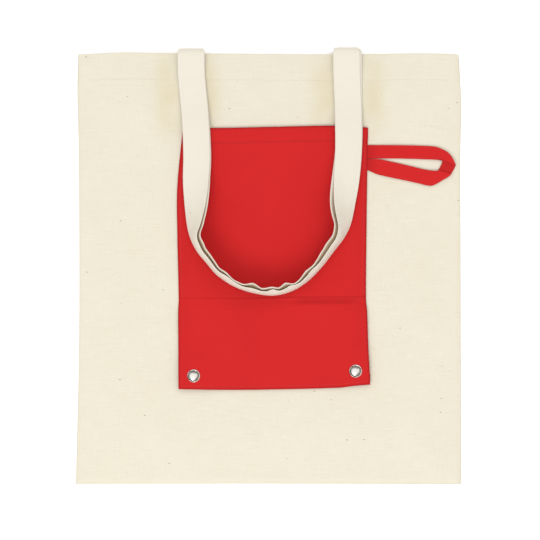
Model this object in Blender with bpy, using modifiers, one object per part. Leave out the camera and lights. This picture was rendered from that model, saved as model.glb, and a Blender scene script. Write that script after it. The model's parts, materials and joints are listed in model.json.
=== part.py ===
"""A foldable cotton tote bag with a red stow pouch, lying flat on its back.

Metres. +X is to the right, +Y runs towards the bag's mouth and +Z is up from the surface that it lies on.
The origin is on that surface, under the middle of the bag.
"""
import math

import bmesh
import bpy
from mathutils import Vector

# Bag: two canvas panels joined along the sides and the bottom, open at the mouth.
BAG_BOTTOM = -0.2155
BAG_MOUTH = 0.2075
BOTTOM_HALF_WIDTH = 0.1900
MOUTH_HALF_WIDTH = 0.1879
CANVAS = 0.0008
SEAM_GAP = 0.0003
SEAM_SLOPE = 0.018
FRONT_LEVEL = 0.0054
HEM_DEPTH = 0.025

# Pouch: a red front panel and backing. The front panel's free lower end is the flap.
RED_CLOTH = 0.0006
POUCH_TOP = 0.1355
FLAP_HINGE = -0.0320
FLAP_LEVEL = 0.0103
POUCH_LEVEL = 0.0079
BACKING_LEVEL = 0.0070
HINGE_GAP = 0.0005
POUCH_HEM = 0.0141

# Handles: two straps, each one flat at its ends and standing on edge round its bend.
STRAP_WIDTH = 0.0266
STRAP = 0.0014
STRAP_BASE = 0.0094
STRAP_LIFT = 0.0024
STRAP_PITCH = 0.00175
EDGEWISE_PITCH = 0.00085
FOLD_CENTRE = (0.20995, 0.0070)
HANDLE_AXIS = (0.2159, 0.0070)
TAIL_END = 0.1720

# Press studs, as (x, y) centres.
SNAPS = {"left": (-0.0736, -0.1084), "right": (0.0855, -0.1037)}
SNAP_STEPS = 20

# Wrist loop: a flat band bent round and sewn into the pouch's right side.
LOOP_AXIS = (0.0978, 0.0082)
LOOP_LOW = 0.0066
LOOP_HIGH = 0.0079

THREAD = 0.0002
FINE_THREAD = 0.00015
THREAD_GAP = 0.00015

# The outer edge of the straps seen from above, as (x, y, tilt in degrees, how far the lower strap sits inwards).
HANDLE_ROUTE = (
    (-0.0895, 0.2080, 0, 0.001),
    (-0.0890, 0.1840, 0, 0.001),
    (-0.0855, 0.1470, 0, 0.002),
    (-0.0838, 0.1100, 0, 0.002),
    (-0.0840, 0.0850, 8, 0.0015),
    (-0.0827, 0.0620, 26, 0.001),
    (-0.0803, 0.0410, 48, 0.0005),
    (-0.0765, 0.0270, 64, 0),
    (-0.0705, 0.0140, 75, 0),
    (-0.0620, 0.0030, 79, 0),
    (-0.0500, -0.0095, 80, 0),
    (-0.0330, -0.0205, 80, 0),
    (-0.0140, -0.0268, 80, 0),
    (0.0048, -0.0290, 80, 0),
    (0.0220, -0.0250, 80, 0),
    (0.0390, -0.0155, 80, 0),
    (0.0545, -0.0010, 79, 0),
    (0.0665, 0.0140, 75, 0),
    (0.0750, 0.0270, 64, 0),
    (0.0812, 0.0410, 48, 0.0005),
    (0.0855, 0.0620, 26, 0.001),
    (0.0895, 0.0850, 8, 0),
    (0.0918, 0.1150, 0, -0.001),
    (0.0915, 0.1530, 0, -0.002),
    (0.0903, 0.1840, 0, -0.0025),
    (0.0898, 0.2080, 0, -0.0025),
)

CREAM = (0.871, 0.823, 0.686)
STRAP_CREAM = (0.887, 0.831, 0.723)
RED = (0.686, 0.026, 0.027)
RED_THREAD = (0.520, 0.020, 0.020)
NICKEL = (0.78, 0.77, 0.75)


def smooth(t):
    """0 below 0, 1 above 1, and an even rise between."""
    t = min(max(t, 0.0), 1.0)
    return t * t * (3 - 2 * t)


def along(points, at):
    """The value at one place along a few (place, value) pairs in rising order."""
    for (start, low), (end, high) in zip(points, points[1:]):
        if at <= end:
            return low + (high - low) * max(at - start, 0) / (end - start)
    return points[-1][1]


def half_width(y):
    share = (y - BAG_BOTTOM) / (BAG_MOUTH - BAG_BOTTOM)
    return BOTTOM_HALF_WIDTH + (MOUTH_HALF_WIDTH - BOTTOM_HALF_WIDTH) * share


def front_bottom(x, y):
    """The underside of the front canvas, which comes down to the back canvas at the seams."""
    inset = min(half_width(y) - abs(x), y - BAG_BOTTOM)
    low = CANVAS + SEAM_GAP
    return low + (FRONT_LEVEL - low) * smooth(inset / SEAM_SLOPE)


def pouch_left(y):
    return along(((FLAP_HINGE, -0.0875), (0.028, -0.0891), (0.0746, -0.0899), (POUCH_TOP, -0.0847)), y)


def pouch_right(y):
    return along(((FLAP_HINGE, 0.0947), (0.0844, 0.0961), (POUCH_TOP, 0.0970)), y)


def pouch_bottom(y):
    """The underside of the pouch's front panel, which rises towards the press studs' height at the flap."""
    return POUCH_LEVEL + (FLAP_LEVEL - POUCH_LEVEL) * smooth((0.060 - y) / 0.080)


def strap_base(y):
    """The height that the straps' lower edges lie at."""
    return STRAP_BASE + STRAP_LIFT * smooth((0.068 - y) / 0.080)


def new_material(name, colour, roughness, metallic=0.0):
    made = bpy.data.materials.new(name)
    made.use_nodes = True
    shader = made.node_tree.nodes["Principled BSDF"]
    shader.inputs["Base Color"].default_value = (*colour, 1)
    shader.inputs["Roughness"].default_value = roughness
    shader.inputs["Metallic"].default_value = metallic
    made.diffuse_color = (*colour, 1)
    return made


def add(name, data, look):
    made = bpy.data.objects.new(name, data)
    data.materials.append(look)
    bag.objects.link(made)
    return made


def thicken(made, thickness, offset=0):
    """Gives an open surface its cloth thickness."""
    solid = made.modifiers.new("thickness", "SOLIDIFY")
    solid.thickness = thickness
    solid.offset = offset
    solid.use_even_offset = True


def cloth(name, across, lengthways, place, thickness, look):
    """A sheet whose middle surface is place(u, v), with u and v from 0 to 1 at the given steps."""
    mesh = bpy.data.meshes.new(name)
    shape = bmesh.new()
    rows = []
    for v in lengthways:
        rows.append([shape.verts.new(place(u, v)) for u in across])
    for low, high in zip(rows, rows[1:]):
        for i in range(len(across) - 1):
            shape.faces.new((low[i], low[i + 1], high[i + 1], high[i]))
    shape.to_mesh(mesh)
    shape.free()
    made = add(name, mesh, look)
    thicken(made, thickness)
    return made


def flat_outline(name, rings, low, high, look):
    """A flat sheet between two heights: the first ring is its edge and the others are holes."""
    curve = bpy.data.curves.new(name, "CURVE")
    curve.dimensions = "2D"
    curve.fill_mode = "BOTH"
    curve.extrude = (high - low) / 2
    for ring in rings:
        spline = curve.splines.new("POLY")
        spline.points.add(len(ring) - 1)
        for point, (x, y) in zip(spline.points, ring):
            point.co = (x, y, 0, 1)
        spline.use_cyclic_u = True
    made = add(name, curve, look)
    made.location = (0, 0, (low + high) / 2)
    return made


def circle(centre, radius, steps):
    turns = [2 * math.pi * i / steps for i in range(steps)]
    return [(centre[0] + radius * math.cos(a), centre[1] + radius * math.sin(a)) for a in turns]


def ribbon(name, edges, look):
    """A strap between two edge lines, given as pairs of points."""
    mesh = bpy.data.meshes.new(name)
    shape = bmesh.new()
    pairs = [(shape.verts.new(a), shape.verts.new(b)) for a, b in edges]
    for (a, b), (c, d) in zip(pairs, pairs[1:]):
        shape.faces.new((a, c, d, b))
    bmesh.ops.recalc_face_normals(shape, faces=shape.faces)
    shape.to_mesh(mesh)
    shape.free()
    made = add(name, mesh, look)
    thicken(made, STRAP)
    return made


def thread(name, points, radius, look, closed=False):
    """A line of stitching as one fine tube."""
    curve = bpy.data.curves.new(name, "CURVE")
    curve.dimensions = "3D"
    curve.bevel_depth = radius
    curve.bevel_resolution = 2
    curve.use_fill_caps = not closed
    spline = curve.splines.new("POLY")
    spline.points.add(len(points) - 1)
    for point, place in zip(spline.points, points):
        point.co = (*place, 1)
    spline.use_cyclic_u = closed
    return add(name, curve, look)


def turned(name, profile, centre, look, ring=False):
    """A round piece from its profile, as (radius, height) points down its outer side. A ring's profile closes."""
    mesh = bpy.data.meshes.new(name)
    shape = bmesh.new()
    points = [shape.verts.new((radius, 0, height)) for radius, height in profile]
    for a, b in zip(points, points[1:]):
        shape.edges.new((a, b))
    if ring:
        shape.edges.new((points[-1], points[0]))
    shape.to_mesh(mesh)
    shape.free()
    made = add(name, mesh, look)
    made.location = (*centre, 0)
    screw = made.modifiers.new("turn", "SCREW")
    screw.steps = SNAP_STEPS
    screw.render_steps = SNAP_STEPS
    screw.use_merge_vertices = True
    screw.merge_threshold = 0.00001
    weld = made.modifiers.new("weld", "WELD")
    weld.merge_threshold = 0.00001
    return made


def on_axis(made, axis):
    """Hangs a moving piece on the empty that stands on its joint's axis."""
    made.parent = axis
    made.location = made.location - axis.location


def joint_axis(name, place):
    made = bpy.data.objects.new(name, None)
    made.location = place
    bag.objects.link(made)
    return made


def smooth_route(points, steps):
    """Points on a smooth curve through the given points, steps to each stretch."""
    made = []
    for i in range(len(points) - 1):
        before, start, end, after = (Vector(points[min(max(i + k, 0), len(points) - 1)]) for k in (-1, 0, 1, 2))
        for step in range(steps):
            t = step / steps
            made.append(
                start
                + (end - before) * (t / 2)
                + (2 * before - 5 * start + 4 * end - after) * (t * t / 2)
                + (3 * start - before - 3 * end + after) * (t * t * t / 2)
            )
    made.append(Vector(points[-1]))
    return made


def strap_edges(upper):
    """Both edges of one handle's moving part. The upper strap lies on the lower one and outside it."""
    route = smooth_route(HANDLE_ROUTE, 2)
    edges = []
    for i, (x, y, tilt, inwards) in enumerate(route):
        ahead = route[min(i + 1, len(route) - 1)]
        behind = route[max(i - 1, 0)]
        run = Vector((ahead[0] - behind[0], ahead[1] - behind[1])).normalized()
        inner = Vector((-run.y, run.x, 0))
        lean = math.radians(tilt)
        pitch = STRAP_PITCH + EDGEWISE_PITCH * math.sin(lean)
        edge = Vector((x, y, strap_base(y) + STRAP / 2))
        if upper:
            edge.z += pitch * math.cos(lean)
        else:
            edge += inner * (pitch * math.sin(lean) + inwards)
        across = inner * math.cos(lean) + Vector((0, 0, math.sin(lean)))
        edges.append((edge, edge + across * STRAP_WIDTH))
    radius = STRAP_BASE + STRAP / 2 - FOLD_CENTRE[1] + (STRAP_PITCH if upper else 0)
    over = [fold_point(radius, angle) for angle in (100, 118, 136, 154, 170)]
    return fold_edges(edges[0], over) + edges + fold_edges(edges[-1], over[::-1]), radius


def fold_point(radius, degrees):
    """A (y, z) place on the strap's turn over the mouth, from 0 inside the bag to 180 on its front."""
    turn = math.radians(degrees)
    return FOLD_CENTRE[0] + radius * math.sin(turn), FOLD_CENTRE[1] - radius * math.cos(turn)


def fold_edges(pair, places):
    """The strap's edges at (y, z) places, straight on from an end pair of edge points."""
    return [(Vector((pair[0].x, y, z)), Vector((pair[1].x, y, z))) for y, z in places]


def bag_pieces():
    sides = (0, 0.008, 0.018, 0.03, 0.047, 0.15, 0.32)
    across = [*sides, 0.5, *(1 - u for u in reversed(sides))]
    lengthways = (0, 0.007, 0.016, 0.026, 0.042, 0.15, 0.35, 0.55, 0.75, 0.9, 1)

    def place(u, v, level):
        y = BAG_BOTTOM + (BAG_MOUTH - BAG_BOTTOM) * v
        x = half_width(y) * (2 * u - 1)
        return x, y, level(x, y)

    def front(u, v):
        return place(u, v, lambda x, y: front_bottom(x, y) + CANVAS / 2)

    def back(u, v):
        return place(u, v, lambda x, y: CANVAS / 2)

    cloth("bag_front", across, lengthways, front, CANVAS, canvas)
    cloth("bag_back", (0, 0.5, 1), (0, 0.5, 1), back, CANVAS, canvas)

    # the overlocking that joins the two panels, inside the bag
    inset = 0.0055
    level = CANVAS + 0.0004
    low = BAG_BOTTOM + inset
    for name, side in (("left", -1), ("right", 1)):
        foot = side * (half_width(low) - inset)
        head = side * (half_width(BAG_MOUTH) - inset)
        thread(f"seam_thread_{name}", ((foot, low + 0.002, level), (head, BAG_MOUTH - 0.004, level)),
               FINE_THREAD, cotton)
    end = half_width(low) - inset - 0.004
    thread("seam_thread_bottom", ((-end, low, level), (end, low, level)), FINE_THREAD, cotton)

    # the rows of stitching that hold the mouth's hem
    hem = BAG_MOUTH - HEM_DEPTH
    reach = half_width(hem) - 0.004
    stops = (-reach, -reach + 0.006, -reach + 0.014, reach - 0.014, reach - 0.006, reach)
    front_row = [(x, hem, front_bottom(x, hem) + CANVAS + THREAD + 2 * THREAD_GAP) for x in stops]
    thread("mouth_stitch_front", front_row, THREAD, cotton)
    reach -= 0.004
    level = CANVAS + FINE_THREAD + THREAD_GAP
    thread("mouth_stitch_back", ((-reach, hem, level), (reach, hem, level)), FINE_THREAD, cotton)


def handle_pieces():
    lift = joint_axis("handle_axis", (0, *HANDLE_AXIS))
    for name, upper in (("front_handle", False), ("back_handle", True)):
        edges, radius = strap_edges(upper)
        on_axis(ribbon(name, edges, webbing), lift)
        for side, pair in (("left", edges[0]), ("right", edges[-1])):
            places = [(TAIL_END, FOLD_CENTRE[1] - radius)]
            places += [fold_point(radius, angle) for angle in (0, 20, 40, 60, 80)]
            ribbon(f"{name}_tail_{side}", fold_edges(pair, places), webbing)
            box_stitch(name, side, pair, upper)


def box_stitch(name, side, pair, upper):
    """The sewn rectangle that holds a handle's tail to its panel."""
    low, high = sorted((pair[0].x, pair[1].x))
    margin = 0.004
    foot = 0.1860
    head = 0.2030
    if upper:
        radius = FINE_THREAD
        level = CANVAS + radius + THREAD_GAP
    else:
        radius = THREAD
        level = FRONT_LEVEL + CANVAS + radius + THREAD_GAP
    corners = ((low + margin, foot), (high - margin, foot), (high - margin, head), (low + margin, head))
    thread(f"{name}_stitch_{side}", [(x, y, level) for x, y in corners], radius, cotton, closed=True)


def pouch_pieces():
    steps = (0, 0.12, 0.24, 0.34, 0.42, 0.5, 0.58, 0.7, 0.85, 1)
    low = FLAP_HINGE + HINGE_GAP

    def front(u, v):
        y = low + (POUCH_TOP - low) * v
        x = pouch_left(y) + (pouch_right(y) - pouch_left(y)) * u
        return x, y, pouch_bottom(y) + RED_CLOTH / 2

    cloth("pouch_front", (0, 0.5, 1), steps, front, RED_CLOTH, red)

    # the backing is a little smaller all round, so that the front and the flap cover it
    backing = ((-0.0840, -0.1145), (0.0935, -0.1135), (0.0930, 0.1320), (-0.0815, 0.1320))
    holes = [circle(centre, 0.0025, 16) for centre in SNAPS.values()]
    flat_outline("pouch_backing", [backing, *holes], BACKING_LEVEL, BACKING_LEVEL + RED_CLOTH, red)

    def row(xy):
        return [(x, y, pouch_bottom(y) + RED_CLOTH + THREAD + THREAD_GAP) for x, y in xy]

    hem = POUCH_TOP - POUCH_HEM
    ends = (pouch_left(hem) + 0.006, pouch_right(hem) - 0.006)
    thread("pouch_hem_stitch", row([(x, hem) for x in ends]), THREAD, red_cotton)
    inset = 0.0025
    stops = [low + 0.003 + (POUCH_TOP - low - 0.006) * v for v in steps]
    thread("pouch_side_stitch_left", row([(pouch_left(y) + inset, y) for y in stops]), THREAD, red_cotton)
    thread("pouch_side_stitch_right", row([(pouch_right(y) - inset, y) for y in stops]), THREAD, red_cotton)


def flap_pieces():
    lift = joint_axis("flap_axis", (0, FLAP_HINGE, FLAP_LEVEL + RED_CLOTH / 2))
    top = FLAP_HINGE - HINGE_GAP
    edge = ((-0.0875, top), (-0.0887, -0.0458), (-0.0879, -0.1211), (0.0014, -0.1215), (0.0675, -0.1196),
            (0.0998, -0.1164), (0.0964, -0.0458), (0.0947, top))
    holes = [circle(centre, 0.0022, 16) for centre in SNAPS.values()]
    on_axis(flat_outline("flap", [edge, *holes], FLAP_LEVEL, FLAP_LEVEL + RED_CLOTH, red), lift)
    level = FLAP_LEVEL + RED_CLOTH + THREAD + THREAD_GAP
    hem = ((-0.0850, -0.1182, level), (0.0014, -0.1186, level), (0.0670, -0.1167, level), (0.0950, -0.1138, level))
    on_axis(thread("flap_hem_stitch", hem, THREAD, red_cotton), lift)

    cloth_top = FLAP_LEVEL + RED_CLOTH + THREAD_GAP
    cloth_low = FLAP_LEVEL - THREAD_GAP
    # dome with a rolled rim and a hollow underside, and the shank that goes through the flap
    cap = ((0, cloth_top + 0.0024), (0.0016, cloth_top + 0.0023), (0.0030, cloth_top + 0.0018),
           (0.0038, cloth_top + 0.0010), (0.0047, cloth_top + 0.0009), (0.0056, cloth_top + 0.0013),
           (0.0063, cloth_top + 0.0009), (0.0063, cloth_top), (0.0019, cloth_top), (0.0019, cloth_low - 0.0002),
           (0, cloth_low - 0.0002))
    # ring with a thin top, open below for the stud's head
    socket = ((0.0023, cloth_low), (0.0050, cloth_low), (0.0056, cloth_low - 0.0005), (0.0056, cloth_low - 0.0013),
              (0.0050, cloth_low - 0.0017), (0.0034, cloth_low - 0.0017), (0.0034, cloth_low - 0.0003),
              (0.0023, cloth_low - 0.0003))
    for side, centre in SNAPS.items():
        on_axis(turned(f"snap_cap_{side}", cap, centre, nickel), lift)
        on_axis(turned(f"snap_socket_{side}", socket, centre, nickel, ring=True), lift)


def stud_pieces():
    cloth_top = BACKING_LEVEL + RED_CLOTH + THREAD_GAP
    cloth_low = BACKING_LEVEL - THREAD_GAP
    # washer with a raised hollow head that the socket grips
    stud = ((0.0024, cloth_top + 0.0020), (0.0030, cloth_top + 0.0020), (0.0031, cloth_top + 0.0016),
            (0.0028, cloth_top + 0.0005), (0.0050, cloth_top + 0.0004), (0.0050, cloth_top), (0.0024, cloth_top))
    # flange behind the backing, and the barrel that goes through it into the stud
    eyelet = ((0, cloth_top + 0.0012), (0.0021, cloth_top + 0.0012), (0.0021, cloth_low), (0.0048, cloth_low),
              (0.0048, cloth_low - 0.0003), (0, cloth_low - 0.0003))
    for side, centre in SNAPS.items():
        turned(f"snap_stud_{side}", stud, centre, nickel, ring=True)
        turned(f"snap_eyelet_{side}", eyelet, centre, nickel)


def wrist_loop_pieces():
    lift = joint_axis("wrist_loop_axis", (LOOP_AXIS[0], 0, LOOP_AXIS[1]))
    start = LOOP_AXIS[0] + 0.0004
    edge = ((start, 0.1185), (0.1642, 0.1170), (0.1702, 0.1150), (0.1771, 0.1116), (0.1810, 0.1062), (0.1843, 0.0987),
            (0.1810, 0.0913), (0.1781, 0.0880), (0.1622, 0.0790), (0.1563, 0.0790), (0.1475, 0.0811), (start, 0.0940))
    hole = ((0.1090, 0.1052), (0.1672, 0.1042), (0.1711, 0.1027), (0.1672, 0.0937), (0.1593, 0.0938))
    on_axis(flat_outline("wrist_loop", [edge, hole], LOOP_LOW, LOOP_HIGH, red), lift)
    level = LOOP_HIGH + THREAD + THREAD_GAP
    row = ((0.1000, 0.1167), (0.1640, 0.1152), (0.1695, 0.1133), (0.1757, 0.1102), (0.1795, 0.1050), (0.1823, 0.0987),
           (0.1795, 0.0925), (0.1768, 0.0895), (0.1618, 0.0808), (0.1563, 0.0808), (0.1480, 0.0828), (0.1000, 0.0955))
    on_axis(thread("wrist_loop_stitch", [(x, y, level) for x, y in row], THREAD, red_cotton), lift)


for old in list(bpy.data.objects):
    bpy.data.objects.remove(old)

bag = bpy.data.collections.new("foldable_tote_bag")
bpy.context.scene.collection.children.link(bag)

canvas = new_material("canvas", CREAM, 0.9)
webbing = new_material("webbing", STRAP_CREAM, 0.85)
cotton = new_material("cotton_thread", CREAM, 0.8)
red = new_material("red_cloth", RED, 0.85)
red_cotton = new_material("red_thread", RED_THREAD, 0.8)
nickel = new_material("nickel", NICKEL, 0.22, 1.0)

bag_pieces()
handle_pieces()
pouch_pieces()
flap_pieces()
stud_pieces()
wrist_loop_pieces()
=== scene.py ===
"""The looks of the foldable tote bag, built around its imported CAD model.

The bag lies on its back: +X right, +Y towards the mouth, +Z up off the floor. Everything is in metres.
"""
import json
import math

import bmesh
import bpy
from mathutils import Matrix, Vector, noise


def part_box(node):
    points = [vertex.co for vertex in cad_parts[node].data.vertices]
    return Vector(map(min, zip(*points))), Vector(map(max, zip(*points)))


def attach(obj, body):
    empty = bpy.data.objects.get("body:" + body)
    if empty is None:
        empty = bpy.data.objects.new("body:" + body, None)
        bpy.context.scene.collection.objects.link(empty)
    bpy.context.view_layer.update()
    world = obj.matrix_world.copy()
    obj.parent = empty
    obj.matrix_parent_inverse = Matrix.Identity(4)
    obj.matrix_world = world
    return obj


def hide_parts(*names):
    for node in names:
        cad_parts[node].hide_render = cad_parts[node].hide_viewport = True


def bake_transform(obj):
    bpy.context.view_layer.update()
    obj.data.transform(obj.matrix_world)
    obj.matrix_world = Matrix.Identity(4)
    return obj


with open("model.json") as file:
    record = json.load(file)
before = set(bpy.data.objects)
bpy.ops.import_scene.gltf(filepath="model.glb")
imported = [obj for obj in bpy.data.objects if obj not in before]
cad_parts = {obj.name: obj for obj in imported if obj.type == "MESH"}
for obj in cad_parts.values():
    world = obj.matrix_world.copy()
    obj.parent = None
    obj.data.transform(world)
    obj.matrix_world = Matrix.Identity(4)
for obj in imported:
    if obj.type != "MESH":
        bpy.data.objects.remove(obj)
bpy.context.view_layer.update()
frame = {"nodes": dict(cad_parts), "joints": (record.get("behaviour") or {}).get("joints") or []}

# Places that come from the CAD model.
BAG_LOW, BAG_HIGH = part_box("bag_back")
FRONT_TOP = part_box("bag_front")[1].z
POUCH_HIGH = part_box("pouch_front")[1]
FLAP_LOW, FLAP_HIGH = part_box("flap")
JOINTS = {joint["name"]: joint for joint in frame["joints"]}
HANDLE_Y, HANDLE_Z = JOINTS["back_handle_lift"]["pos_m"][1:]
FLAP_HINGE = JOINTS["flap_open"]["pos_m"][1]
LOOP_HINGE = JOINTS["wrist_loop_lift"]["pos_m"][0]
SNAPS = {}
for side in ("left", "right"):
    low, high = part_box(f"snap_cap_{side}")
    SNAPS[side] = Vector(((low.x + high.x) / 2, (low.y + high.y) / 2, high.z))

# How thick each cloth is.
CANVAS = 0.0007
RED_CLOTH = 0.0006
BACKING = 0.0005
STRAP = 0.0014
LOOP_BAND = 0.0011

# How wide the bands are, how long the pouch is with its flap, and how much cloth each hem takes.
STRAP_WIDTH = 0.0266
HEM_DEPTH = 0.025
POUCH_HEM = 0.0141
SIDE_HEM = 0.0100
END_HEM = 0.010

# The handles' route: x, y, tilt in degrees, how far the lower strap sits inwards of the upper one.
HANDLE_ROUTE = (
    (-0.0895, 0.2080, 0, 0.0002),
    (-0.0890, 0.1840, 0, 0.0002),
    (-0.0855, 0.1470, 1, 0.0004),
    (-0.0838, 0.1100, 6, 0.0008),
    (-0.0842, 0.0850, 15, 0.0008),
    (-0.0828, 0.0620, 34, 0.0010),
    (-0.0803, 0.0410, 57, 0.0014),
    (-0.0767, 0.0270, 76, 0.0018),
    (-0.0700, 0.0140, 82, 0.0026),
    (-0.0610, 0.0030, 83, 0.0020),
    (-0.0500, -0.0095, 84, 0.0008),
    (-0.0330, -0.0205, 85, 0.0004),
    (-0.0140, -0.0268, 85, 0.0004),
    (0.0048, -0.0290, 85, 0.0008),
    (0.0220, -0.0250, 85, 0.0004),
    (0.0378, -0.0155, 84, 0.0006),
    (0.0522, -0.0010, 83, 0.0024),
    (0.0638, 0.0140, 82, 0.0036),
    (0.0738, 0.0270, 76, 0.0030),
    (0.0808, 0.0410, 58, 0.0034),
    (0.0855, 0.0620, 34, 0.0028),
    (0.0894, 0.0850, 16, 0.0012),
    (0.0918, 0.1150, 6, -0.0003),
    (0.0915, 0.1530, 1, -0.0010),
    (0.0903, 0.1840, 0, -0.0016),
    (0.0898, 0.2080, 0, -0.0018),
)


# ---------------------------------------------------------------- numbers

def smooth(t):
    """0 below 0, 1 above 1, and an even rise between."""
    t = min(max(t, 0.0), 1.0)
    return t * t * (3 - 2 * t)


def bump(t):
    """1 at 0, falling evenly to 0 at 1 and -1."""
    return smooth(1 - abs(t))


def curve_at(points, at):
    """The value at one place on a smooth curve through a few (place, value) pairs in rising order."""
    if at <= points[0][0]:
        return points[0][1]
    for i in range(len(points) - 1):
        start, low = points[i]
        end, high = points[i + 1]
        if at <= end:
            before = points[max(i - 1, 0)]
            after = points[min(i + 2, len(points) - 1)]
            span = end - start
            slope_in = (high - before[1]) / (end - before[0]) * span
            slope_out = (after[1] - low) / (after[0] - start) * span
            t = (at - start) / span
            return (low * (1 + 2 * t) * (1 - t) ** 2 + slope_in * t * (1 - t) ** 2
                    + high * t * t * (3 - 2 * t) + slope_out * t * t * (t - 1))
    return points[-1][1]


def evenly(start, end, count):
    """Places from start to end, both included, in count equal steps."""
    return [start + (end - start) * i / count for i in range(count + 1)]


def ripple(x, y, size, seed=0.0):
    """Even noise about 0, one swell to each size metres."""
    return noise.noise(Vector((x / size, y / size, seed)))


def spaced(start, end, step, *dense):
    """Rising places from start to end, step apart, and closer by each (place, reach, fine step)."""
    count = max(1, round((end - start) / step))
    places = {round(start + (end - start) * i / count, 6) for i in range(count + 1)}
    for middle, reach, fine in dense:
        steps = round(reach / fine)
        places |= {round(middle + i * fine, 6) for i in range(-steps, steps + 1)}
    return sorted(p for p in places if start - 1e-7 <= p <= end + 1e-7)


# ---------------------------------------------------------------- materials

class Nodes:
    """Short ways to add and join the nodes of a material or of the world."""

    def __init__(self, owner, shader="Principled BSDF"):
        owner.use_nodes = True
        self.owner = owner
        self.nodes = owner.node_tree.nodes
        self.links = owner.node_tree.links
        self.shader = self.nodes[shader]

    def add(self, kind, settings=None, **inputs):
        """A new node. Its inputs are named, with _ for a space, or numbered, as _0."""
        node = self.nodes.new(kind)
        for key, value in (settings or {}).items():
            setattr(node, key, value)
        for key, value in inputs.items():
            self.feed(node, key, value)
        return node

    def feed(self, node, key, value):
        """Links a socket or a node's first output to an input, or sets the input's value."""
        socket = node.inputs[int(key[1:])] if key[0] == "_" else node.inputs[key.replace("_", " ")]
        if isinstance(value, bpy.types.NodeSocket):
            self.links.new(value, socket)
        elif isinstance(value, bpy.types.Node):
            self.links.new(value.outputs[0], socket)
        else:
            socket.default_value = value

    def math(self, operation, a, b=0.0, c=0.0):
        """One Math node's result."""
        return self.add("ShaderNodeMath", {"operation": operation}, _0=a, _1=b, _2=c).outputs[0]

    def noise(self, place, scale, detail=2.0, roughness=0.5):
        """Even noise about 0.5."""
        node = self.add("ShaderNodeTexNoise", Vector=place, Scale=scale, Detail=detail,
                        Roughness=roughness)
        return node.outputs[0]

    def stretched(self, place, scale):
        """Places scaled by different amounts each way."""
        return self.add("ShaderNodeMapping", Vector=place, Scale=scale).outputs[0]

    def band(self, value, low, high):
        """0 below low and 1 above high."""
        node = self.add("ShaderNodeMapRange", {"clamp": True}, Value=value, From_Min=low, From_Max=high)
        return node.outputs[0]

    def mix(self, share, a, b):
        """The colour a, going to b as share goes from 0 to 1."""
        node = self.add("ShaderNodeMix", {"data_type": "RGBA"})
        self.feed(node, "_0", share)
        self.feed(node, "_6", a)
        self.feed(node, "_7", b)
        return node.outputs[2]


CLOUD_SPREAD = 1.0 / 0.9


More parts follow.
